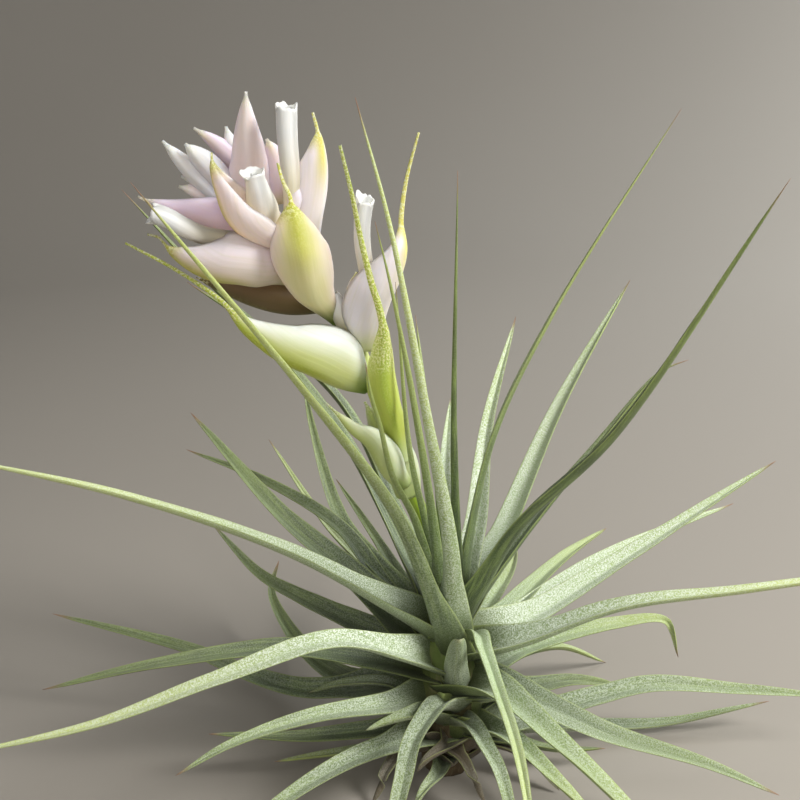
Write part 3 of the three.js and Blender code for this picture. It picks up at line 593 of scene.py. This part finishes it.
def corolla(index, name, radius, mouth, splay, path):
    """Three petals rolled into a tube, whose lobes curl out at its mouth."""
    rng = np.random.default_rng(PETAL_SEED + index)
    points, tangents, share, length = along_curve(path, PETAL_STEP)
    side, normal = frames(tangents, np.array([[0.3, 1.0, 0.2]]).repeat(len(points), 0))
    pieces = []
    for petal in range(PETALS):
        start = petal * math.tau / PETALS + rng.uniform(0, 0.4)
        across = np.linspace(-1, 1, PETAL_COLUMNS)
        # Each petal ends in a rounded, slightly ragged lobe, a little shorter than the one before
        ragged = np.convolve(rng.uniform(-1, 1, PETAL_COLUMNS + 2), (0.25, 0.5, 0.25), "valid")
        lobe = 0.94 - 0.02 * petal + 0.05 * (1 - across**2) + 0.025 * ragged
        reach = np.minimum(lobe[None, :] * share[:, None], 1)
        place = np.stack([np.interp(reach, share, points[:, axis]) for axis in range(3)], -1)
        tube = 0.55 + 0.45 * smoothstep(0.0, 0.5, reach)
        if mouth:
            curl = splay if petal == 0 else splay / 4
            flare = 1 + (mouth - 1) * smoothstep(0.45, 0.95, reach) + curl * smoothstep(0.86, 1, reach)
            tube = tube * flare
        else:
            tube = tube * np.sqrt(np.clip(1.02 - reach**3, 0.02, 1))
        tube = tube * radius * (1 + 0.02 * across[None, :] + 0.02 * petal)
        turn = start + PETAL_ARC * across[None, :]
        middle = (
            place
            + side[:, None] * (tube * np.cos(turn))[..., None]
            + normal[:, None] * (tube * np.sin(turn))[..., None]
        )
        half = PETAL_HALF_THICKNESS * (1 - across[None, :] ** 6) * np.ones_like(share)[:, None]
        half[:, 0] = half[:, -1] = 0
        looks = {"seed": PETAL_SEED + index * PETALS + petal}
        pieces.append(blade(f"{name}_petal_{petal}", middle, half, share, across, length, looks))
    return joined(name, pieces)


def joined(name, pieces):
    """One object from several."""
    shape = bmesh.new()
    for piece in pieces:
        shape.from_mesh(piece.data)
        mesh = piece.data
        bpy.data.objects.remove(piece)
        bpy.data.meshes.remove(mesh)
    mesh = bpy.data.meshes.new(name)
    shape.to_mesh(mesh)
    shape.free()
    result = bpy.data.objects.new(name, mesh)
    bpy.context.scene.collection.objects.link(result)
    return result


BAR_STEP = 1.0
STALK_SIDES = 42
STALK_RIBS = 7
STEM_SIDES = 48


def bar(name, path, sides, radius):
    """A closed round bar along a path; radius(share, angle) may change along and round it."""
    points, tangents, share, length = along_curve(path, BAR_STEP)
    side, normal = frames(tangents, np.array([[0.1, 1.0, 0.1]]).repeat(len(points), 0))
    angle = np.linspace(0, math.tau, sides, endpoint=False)
    reach = radius(share[:, None], angle[None, :]) * np.ones((len(share), sides))
    ring = (
        points[:, None]
        + side[:, None] * (reach * np.cos(angle))[..., None]
        + normal[:, None] * (reach * np.sin(angle))[..., None]
    )
    faces = []
    for i in range(len(share) - 1):
        for k in range(sides):
            a, b = i * sides + k, i * sides + (k + 1) % sides
            faces.append((a, b, b + sides, a + sides))
    foot = len(share) * sides
    last = (len(share) - 1) * sides
    for k in range(sides):
        after = (k + 1) % sides
        faces.append((foot, after, k))
        faces.append((foot + 1, last + k, last + after))
    verts = np.vstack([ring.reshape(-1, 3), points[0], points[-1]])
    values = {
        "along": np.concatenate([np.repeat(share, sides), [0, 1]]),
        "place": np.stack(
            [
                np.concatenate([np.tile(angle * 3, len(share)), [0, 0]]),
                np.concatenate([np.repeat(share * length, sides), [0, length]]),
                np.zeros(len(share) * sides + 2),
            ],
            1,
        ),
    }
    return finish_mesh(name, verts, faces, values)


# --- materials --------------------------------------------------------------------------------------------


class Nodes:
    """Short calls for the node tree of one material."""

    def __init__(self, name, **settings):
        self.material = bpy.data.materials.new(name)
        self.material.use_nodes = True
        self.tree = self.material.node_tree
        self.tree.nodes.clear()
        self.shader = self.tree.nodes.new("ShaderNodeBsdfPrincipled")
        output = self.tree.nodes.new("ShaderNodeOutputMaterial")
        self.tree.links.new(self.shader.outputs[0], output.inputs["Surface"])
        for key, value in settings.items():
            self.shader.inputs[key.replace("_", " ")].default_value = value

    def set(self, socket, value):
        if isinstance(value, bpy.types.NodeSocket):
            self.tree.links.new(value, socket)
        else:
            socket.default_value = value

    def attribute(self, name, kind):
        node = self.tree.nodes.new("ShaderNodeAttribute")
        node.attribute_name = name
        return node.outputs[kind]

    def value(self, name):
        return self.attribute(name, "Fac")

    def place(self, stretch):
        """Millimetres across and along the piece, each times its stretch."""
        scale = self.tree.nodes.new("ShaderNodeVectorMath")
        scale.operation = "MULTIPLY"
        self.tree.links.new(self.attribute("place", "Vector"), scale.inputs[0])
        scale.inputs[1].default_value = stretch
        return scale.outputs[0]

    def run(self):
        """Millimetres along the piece from its foot."""
        split = self.tree.nodes.new("ShaderNodeSeparateXYZ")
        self.tree.links.new(self.attribute("place", "Vector"), split.inputs[0])
        return split.outputs["Y"]

    def noise(self, vector, scale, detail, roughness):
        node = self.tree.nodes.new("ShaderNodeTexNoise")
        self.tree.links.new(vector, node.inputs["Vector"])
        node.inputs["Scale"].default_value = scale
        node.inputs["Detail"].default_value = detail
        node.inputs["Roughness"].default_value = roughness
        return node.outputs["Fac"]

    def math(self, operation, first, second=0.0):
        node = self.tree.nodes.new("ShaderNodeMath")
        node.operation = operation
        self.set(node.inputs[0], first)
        self.set(node.inputs[1], second)
        return node.outputs[0]

    def ramp(self, value, low, high, to_low=0.0, to_high=1.0):
        """A smooth step of a value from low to high."""
        node = self.tree.nodes.new("ShaderNodeMapRange")
        node.interpolation_type = "SMOOTHSTEP"
        self.set(node.inputs["Value"], value)
        node.inputs["From Min"].default_value = low
        node.inputs["From Max"].default_value = high
        node.inputs["To Min"].default_value = to_low
        node.inputs["To Max"].default_value = to_high
        return node.outputs["Result"]

    def mix(self, share, first, second):
        node = self.tree.nodes.new("ShaderNodeMix")
        node.data_type = "RGBA"
        self.set(node.inputs["Factor"], share)
        self.set(node.inputs[6], first)
        self.set(node.inputs[7], second)
        return node.outputs[2]

    def bump(self, height, distance_mm, strength, normal=None):
        node = self.tree.nodes.new("ShaderNodeBump")
        node.inputs["Strength"].default_value = strength
        node.inputs["Distance"].default_value = distance_mm * MM
        self.tree.links.new(height, node.inputs["Height"])
        if normal is not None:
            self.tree.links.new(normal, node.inputs["Normal"])
        return node.outputs["Normal"]

    def finish(self, colour, roughness, normal):
        self.set(self.shader.inputs["Base Color"], colour)
        self.set(self.shader.inputs["Roughness"], roughness)
        self.set(self.shader.inputs["Normal"], normal)
        return self.material


def rgb(red, green, blue):
    """A linear colour from sRGB numbers of 0 to 255."""
    linear = [((c / 255 + 0.055) / 1.055) ** 2.4 if c > 10 else c / 255 / 12.92 for c in (red, green, blue)]
    return (*linear, 1.0)


def leaf_skin():
    n = Nodes("leaf_skin", Sheen_Weight=0.08, Sheen_Roughness=0.5)
    along, upper, dry = n.value("along"), n.value("upper"), n.value("dry")
    run = n.run()
    edge = n.math("ABSOLUTE", n.value("across"))
    flecks = n.noise(n.place((1, 0.8, 1)), 3.8, 2, 0.7)
    streaks = n.noise(n.place((1, 0.05, 1)), 1.5, 3, 0.6)
    patches = n.noise(n.place((0.6, 1, 1)), 0.12, 2, 0.5)
    tone = n.math("ADD", n.value("tone"), n.math("MULTIPLY", n.math("SUBTRACT", patches, 0.5), 0.4))
    green = n.mix(n.math("MAXIMUM", tone, 0.0), rgb(40, 62, 6), rgb(134, 168, 48))
    green = n.mix(n.ramp(streaks, 0.4, 0.7, 0, 0.35), green, rgb(162, 186, 92))
    ripe = n.math("MULTIPLY", n.ramp(along, 0.2, 0.85), n.value("yellow"))
    green = n.mix(ripe, green, rgb(200, 212, 116))
    # Painted shade: a leaf's first 22 mm, down among the others by the stem, darkens towards deep olive
    green = n.mix(n.ramp(run, 5, 22, 0.85, 0), green, rgb(62, 72, 24))
    straw = n.mix(streaks, rgb(52, 42, 28), rgb(118, 104, 78))
    green = n.mix(dry, green, straw)
    cover = n.math("MULTIPLY", n.ramp(along, 0.1, 0.95, 1.0, 0.6), n.ramp(run, 5, 18, 0.15, 1))
    under = n.value("under")
    above = n.math("MULTIPLY", upper, n.math("SUBTRACT", 1.0, under))
    sides = n.math("ADD", under, above)
    cover = n.math("MULTIPLY", cover, n.math("MULTIPLY", n.value("silver"), sides))
    grains = n.ramp(flecks, 0.4, 0.62, 0.2, 1.15)
    scurf = n.math("MULTIPLY", cover, n.math("MULTIPLY", grains, n.ramp(streaks, 0.34, 0.56, 0.85, 1)))
    scurf = n.math("MINIMUM", scurf, 1.0)
    colour = n.mix(scurf, green, rgb(232, 240, 226))
    # Paler yellow-green margins: partly the margin's own colour, partly painted light shining through the
    # thin edge
    colour = n.mix(n.ramp(edge, 0.9, 1.0, 0, 0.4), colour, rgb(200, 216, 126))
    withered = n.ramp(n.math("ADD", along, n.math("MULTIPLY", streaks, 0.06)), 0.96, 1.03)
    withered = n.math("MULTIPLY", withered, n.ramp(run, 25, 40))
    colour = n.mix(withered, colour, rgb(150, 114, 92))
    roughness = n.math("ADD", 0.38, n.math("MULTIPLY", scurf, 0.3))
    normal = n.bump(streaks, 0.12, 0.5)
    normal = n.bump(flecks, 0.25, 0.9, normal)
    return n.finish(colour, roughness, normal)


BRACT_COLOURS = {
    # look: (middle, towards the margins, keel, foot, how far up the keel's colour starts)
    "rose": (rgb(247, 222, 218), rgb(248, 224, 234), rgb(242, 224, 212), rgb(238, 208, 200), 0.75),
    "pink": (rgb(246, 228, 226), rgb(247, 230, 240), rgb(206, 198, 96), rgb(212, 214, 164), 0.5),
    "peach": (rgb(238, 216, 200), rgb(243, 220, 222), rgb(182, 180, 78), rgb(184, 186, 110), 0.25),
    "lilac": (rgb(238, 212, 222), rgb(240, 214, 238), rgb(226, 208, 184), rgb(212, 200, 164), 0.6),
    "cream": (rgb(218, 212, 166), rgb(243, 220, 214), rgb(174, 178, 52), rgb(104, 130, 34), 0.45),
    "lime": (rgb(206, 214, 140), rgb(230, 232, 220), rgb(176, 190, 60), rgb(106, 134, 48), 0.1),
    "white": (rgb(246, 242, 238), rgb(248, 242, 246), rgb(242, 236, 226), rgb(228, 214, 180), 0.6),
    # shade is painted shade: a pink bract's colours darkened for the shadow it sits in under its neighbours
    "shade": (rgb(110, 94, 60), rgb(132, 112, 82), rgb(98, 94, 44), rgb(86, 92, 42), 0.2),
    "green": (rgb(178, 190, 86), rgb(192, 204, 116), rgb(154, 172, 60), rgb(200, 214, 156), 0.05),
    "pale_green": (rgb(196, 208, 146), rgb(216, 222, 190), rgb(178, 192, 116), rgb(178, 194, 124), 0.05),
}

# Shares of the body where the awn's colour starts, where the scurf starts if that is lower, and over which
# both come in
AWN_START = 0.84
SCURF_START = {"green": 0.62}
AWN_FADE = 0.14


def bract_skin(look):
    middle, margin, keel, foot, start = BRACT_COLOURS[look]
    glow = dict(Subsurface_Weight=0.85, Subsurface_Radius=(1.0, 0.85, 0.7), Subsurface_Scale=2.4 * MM)
    n = Nodes("bract_" + look, **glow)
    along, body = n.value("along"), n.value("body")
    edge = n.math("ABSOLUTE", n.value("across"))
    veins = n.noise(n.place((1, 0.05, 1)), 1.4, 2, 0.5)
    flecks = n.noise(n.place((1, 0.7, 1)), 2.8, 2, 0.65)
    patches = n.noise(n.place((1, 0.6, 1)), 0.14, 2, 0.5)
    u = n.math("DIVIDE", along, body)
    shift = n.math("MULTIPLY", n.math("SUBTRACT", patches, 0.5), 0.8)
    blush = n.math("ADD", n.ramp(edge, 0.15, 0.75), shift)
    colour = n.mix(n.math("MINIMUM", n.math("MAXIMUM", blush, 0.0), 1.0), middle, margin)
    colour = n.mix(n.ramp(veins, 0.4, 0.75, 0, 0.14), colour, keel)
    reach = n.ramp(u, 0.2, 0.95, 0.12, 0.5)
    keeled = n.math("SUBTRACT", 1.0, n.math("MINIMUM", n.math("DIVIDE", edge, reach), 1.0))
    keeled = n.math("MULTIPLY", n.ramp(keeled, 0.0, 1.0), n.ramp(u, start, start + 0.4, 0.1, 0.95))
    colour = n.mix(keeled, colour, keel)
    awn = n.ramp(u, AWN_START, AWN_START + AWN_FADE)
    scurf_start = SCURF_START.get(look, AWN_START)
    scurfy = n.ramp(u, scurf_start, scurf_start + AWN_FADE)
    colour = n.mix(awn, colour, keel)
    colour = n.mix(n.ramp(u, 0.0, 0.26, 1, 0), colour, foot)
    scurfy = n.math("MAXIMUM", scurfy, n.math("MULTIPLY", keeled, 0.15))
    grains = n.math("MULTIPLY", scurfy, n.ramp(flecks, 0.44, 0.6))
    colour = n.mix(n.math("MULTIPLY", grains, 0.7), colour, rgb(232, 232, 186))
    normal = n.bump(veins, 0.14, 0.5)
    normal = n.bump(grains, 0.12, 0.8, normal)
    return n.finish(colour, n.math("ADD", 0.52, n.math("MULTIPLY", grains, 0.3)), normal)


def petal_skin():
    glow = dict(Subsurface_Weight=0.4, Subsurface_Radius=(1.0, 0.95, 0.8), Subsurface_Scale=1.2 * MM)
    n = Nodes("petal_skin", **glow)
    along = n.value("along")
    veins = n.noise(n.place((1, 0.05, 1)), 2.2, 2, 0.5)
    patches = n.noise(n.place((1, 1, 1)), 0.4, 2, 0.5)
    colour = n.mix(patches, rgb(238, 240, 238), rgb(246, 244, 236))
    colour = n.mix(n.ramp(along, 0.35, 0.88, 0.95, 0), colour, rgb(234, 222, 188))
    colour = n.mix(n.ramp(veins, 0.45, 0.8, 0, 0.3), colour, rgb(214, 220, 216))
    normal = n.bump(veins, 0.12, 0.5)
    return n.finish(colour, n.math("ADD", 0.38, n.math("MULTIPLY", veins, 0.2)), normal)


def stalk_skin():
    glow = dict(Subsurface_Weight=0.2, Subsurface_Radius=(0.8, 1.0, 0.3), Subsurface_Scale=1.0 * MM)
    n = Nodes("stalk_skin", **glow)
    along = n.value("along")
    ribs = n.noise(n.place((1, 0.04, 1)), 1.4, 2, 0.5)
    patches = n.noise(n.place((1, 0.6, 1)), 0.25, 2, 0.5)
    colour = n.mix(patches, rgb(120, 156, 30), rgb(168, 192, 62))
    colour = n.mix(n.ramp(along, 0.25, 0.7), colour, rgb(206, 214, 140))
    colour = n.mix(n.ramp(ribs, 0.4, 0.8, 0, 0.4), colour, rgb(196, 208, 130))
    normal = n.bump(ribs, 0.15, 0.5)
    return n.finish(colour, n.math("ADD", 0.4, n.math("MULTIPLY", ribs, 0.2)), normal)


def stem_skin():
    n = Nodes("stem_skin")
    along = n.value("along")
    fibres = n.noise(n.place((1, 0.12, 1)), 1.3, 4, 0.65)
    patches = n.noise(n.place((1, 1, 1)), 0.3, 3, 0.6)
    dry = n.mix(patches, rgb(58, 46, 30), rgb(108, 90, 64))
    green = n.mix(patches, rgb(74, 88, 36), rgb(122, 140, 74))
    colour = n.mix(n.ramp(along, 0.25, 0.7), dry, green)
    colour = n.mix(n.ramp(fibres, 0.45, 0.75, 0, 0.6), colour, rgb(140, 128, 98))
    normal = n.bump(fibres, 0.5, 0.8)
    return n.finish(colour, n.math("ADD", 0.7, n.math("MULTIPLY", fibres, 0.2)), normal)


def floor_skin():
    n = Nodes("pale_floor")
    where = n.tree.nodes.new("ShaderNodeTexCoord").outputs["Object"]
    cloud = n.noise(where, 2.0, 2, 0.5)
    grain = n.noise(where, 300.0, 2, 0.5)
    colour = n.mix(cloud, rgb(156, 149, 139), rgb(163, 157, 148))
    return n.finish(colour, 0.85, n.bump(grain, 0.05, 0.1))


# --- building ---------------------------------------------------------------------------------------------


def show(piece, material, node=None):
    piece.data.materials.append(material)
    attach(piece, "root")
    if node:
        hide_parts(node)


def build_leaves(skin):
    for index, (name, width, taper, look, path) in enumerate(LEAVES + MORE_LEAVES):
        turn = TURN if name in TURNED else 0
        growth = FRONT_GROWTH if name.startswith("front") else SHEATH_GROWTH
        piece = leaf(index, name + "_blade", width, taper, look, path, growth, turn)
        show(piece, skin, name if index < len(LEAVES) else None)


def build_leaf_bases(skin):
    """Short scales round the stem, dry and spreading at the foot, green and upright higher up."""
    for index in range(BASE_COUNT):
        share = index / (BASE_COUNT - 1)
        height = 1 + BASE_TOP * share
        out = np.array((math.cos(index * GOLDEN_ANGLE), math.sin(index * GOLDEN_ANGLE), 0.0))
        rise = BASE_RISE + BASE_RISE_GAIN * share
        spread = BASE_SPREAD - BASE_SPREAD_LOSS * share
        path = [
            out * 4 + UP * height,
            out * 7.5 + UP * (height + 0.3 * rise),
            out * (0.45 * spread + 4) + UP * (height + 0.7 * rise),
            out * spread + UP * (height + rise),
        ]
        look = DRY if share < 0.5 else OLIVE
        name = f"leaf_base_{index + 1}"
        piece = leaf(BASE_SEED + index, name, BASE_WIDTH, BASE_TAPER, look, path, BASE_GROWTH)
        show(piece, skin)


def build_bracts(skins):
    for index, row in enumerate(BRACTS + MORE_BRACTS):
        shape = {key: value for key, value in row.items() if key not in ("name", "look")}
        piece = bract(index, row["name"] + "_scale", **shape)
        show(piece, skins[row["look"]], row["name"] if index < len(BRACTS) else None)


def build_corollas(skin):
    for index, row in enumerate(COROLLAS):
        shape = {key: value for key, value in row.items() if key != "name"}
        piece = corolla(index, row["name"] + "_petals", **shape)
        show(piece, skin, row["name"])


def build_stalk(skin):
    def radius(share, angle):
        return STALK_RADIUS * (1 - STALK_TAPER * share) * (1 + 0.04 * np.cos(STALK_RIBS * angle))

    show(bar("flower_stalk_skin", STALK_PATH, STALK_SIDES, radius), skin, "flower_stalk")


def build_stem(skin):
    shares = [z for _, z in STEM_OUTLINE]
    radii = [r for r, _ in STEM_OUTLINE]

    def radius(share, angle):
        swell = np.interp(share, shares, radii) * STEM_RADIUS
        scars = 0.03 * np.cos(5 * angle + share * 40) + 0.02 * np.cos(13 * angle - share * 70)
        return swell * (1 + scars)

    path = [(0, 0, 0), (0, 0, STEM_HEIGHT / 2), (0, 0, STEM_HEIGHT)]
    show(bar("short_stem_skin", path, STEM_SIDES, radius), skin, "short_stem")


# --- stage ------------------------------------------------------------------------------------------------

FLOOR_RADIUS = 1.3
WALL_HEIGHT = 1.6
SWEEP_RADIUS = 0.7
FLOOR_RINGS = 24
SWEEP_RINGS = 16
FLOOR_TURNS = 96

WARM_WHITE = (1.0, 0.99, 0.97)
COOL_WHITE = (0.93, 0.97, 1.0)
SKY_COLOUR = (0.9, 0.95, 1.0, 1)
SKY_STRENGTH = 0.05
PLANT_CENTRE = (-0.01, 0, 0.09)

# Round lamps: name, place and what they aim at in metres, size, power in watts and colour
LAMPS = [
    ("key_light", (0.4, -0.2, 0.5), PLANT_CENTRE, 0.25, 4.5, WARM_WHITE),
    ("front_light", (-0.05, -0.55, 0.45), PLANT_CENTRE, 0.5, 1.7, WARM_WHITE),
    ("fill_light", (-0.5, -0.5, 0.3), PLANT_CENTRE, 0.6, 0.35, WARM_WHITE),
    ("wall_light", (0.7, 0.5, 0.5), (0.4, 0.7, 0.0), 0.6, 6.4, COOL_WHITE),
]


def build_floor():
    """A round floor that sweeps up into a wall all round."""
    profile = [(r, 0.0) for r in np.linspace(0.02, FLOOR_RADIUS - SWEEP_RADIUS, FLOOR_RINGS)]
    for angle in np.linspace(0, math.pi / 2, SWEEP_RINGS + 1)[1:]:
        out = FLOOR_RADIUS - SWEEP_RADIUS + SWEEP_RADIUS * math.sin(angle)
        profile.append((out, SWEEP_RADIUS * (1 - math.cos(angle))))
    profile.append((FLOOR_RADIUS, WALL_HEIGHT))
    angles = [math.tau * k / FLOOR_TURNS for k in range(FLOOR_TURNS)]
    shape = bmesh.new()
    centre = shape.verts.new((0, 0, 0))
    rings = []
    for radius, height in profile:
        points = [(radius * math.cos(a), radius * math.sin(a), height) for a in angles]
        rings.append([shape.verts.new(point) for point in points])
    for k in range(FLOOR_TURNS):
        after = (k + 1) % FLOOR_TURNS
        shape.faces.new((centre, rings[0][k], rings[0][after]))
        for inner, outer in zip(rings, rings[1:]):
            shape.faces.new((inner[k], outer[k], outer[after], inner[after]))
    mesh = bpy.data.meshes.new("floor")
    shape.to_mesh(mesh)
    shape.free()
    mesh.polygons.foreach_set("use_smooth", [True] * len(mesh.polygons))
    mesh.materials.append(floor_skin())
    floor = bpy.data.objects.new("floor", mesh)
    bpy.context.scene.collection.objects.link(floor)


def add_camera():
    target = Vector(VIEW_TARGET) * MM
    back = Vector((0, -math.cos(VIEW_ELEVATION), math.sin(VIEW_ELEVATION)))
    camera = bpy.data.objects.new("camera", bpy.data.cameras.new("camera"))
    camera.data.sensor_width = SENSOR_WIDTH
    camera.data.lens = SENSOR_WIDTH * FOCAL_PIXELS / PICTURE_PIXELS
    camera.data.clip_start = 0.005
    camera.location = target + back * VIEW_DISTANCE * MM
    camera.rotation_euler = (math.pi / 2 - VIEW_ELEVATION, 0, 0)
    bpy.context.scene.collection.objects.link(camera)
    bpy.context.scene.camera = camera


def add_light(name, place, aim, size, power, colour):
    light = bpy.data.lights.new(name, "AREA")
    light.shape = "DISK"
    light.size = size
    light.energy = power
    light.color = colour
    lamp = bpy.data.objects.new(name, light)
    lamp.location = place
    lamp.rotation_euler = (Vector(aim) - Vector(place)).to_track_quat("-Z", "Y").to_euler()
    bpy.context.scene.collection.objects.link(lamp)


def add_lights():
    for lamp in LAMPS:
        add_light(*lamp)
    world = bpy.data.worlds.new("studio")
    world.use_nodes = True
    background = world.node_tree.nodes["Background"]
    background.inputs["Color"].default_value = SKY_COLOUR
    background.inputs["Strength"].default_value = SKY_STRENGTH
    bpy.context.scene.world = world
    bpy.context.scene.view_settings.view_transform = "Standard"


add_camera()
leaves = leaf_skin()
build_leaves(leaves)
build_leaf_bases(leaves)
build_bracts({look: bract_skin(look) for look in BRACT_COLOURS})
build_corollas(petal_skin())
build_stalk(stalk_skin())
build_stem(stem_skin())
build_floor()
add_lights()
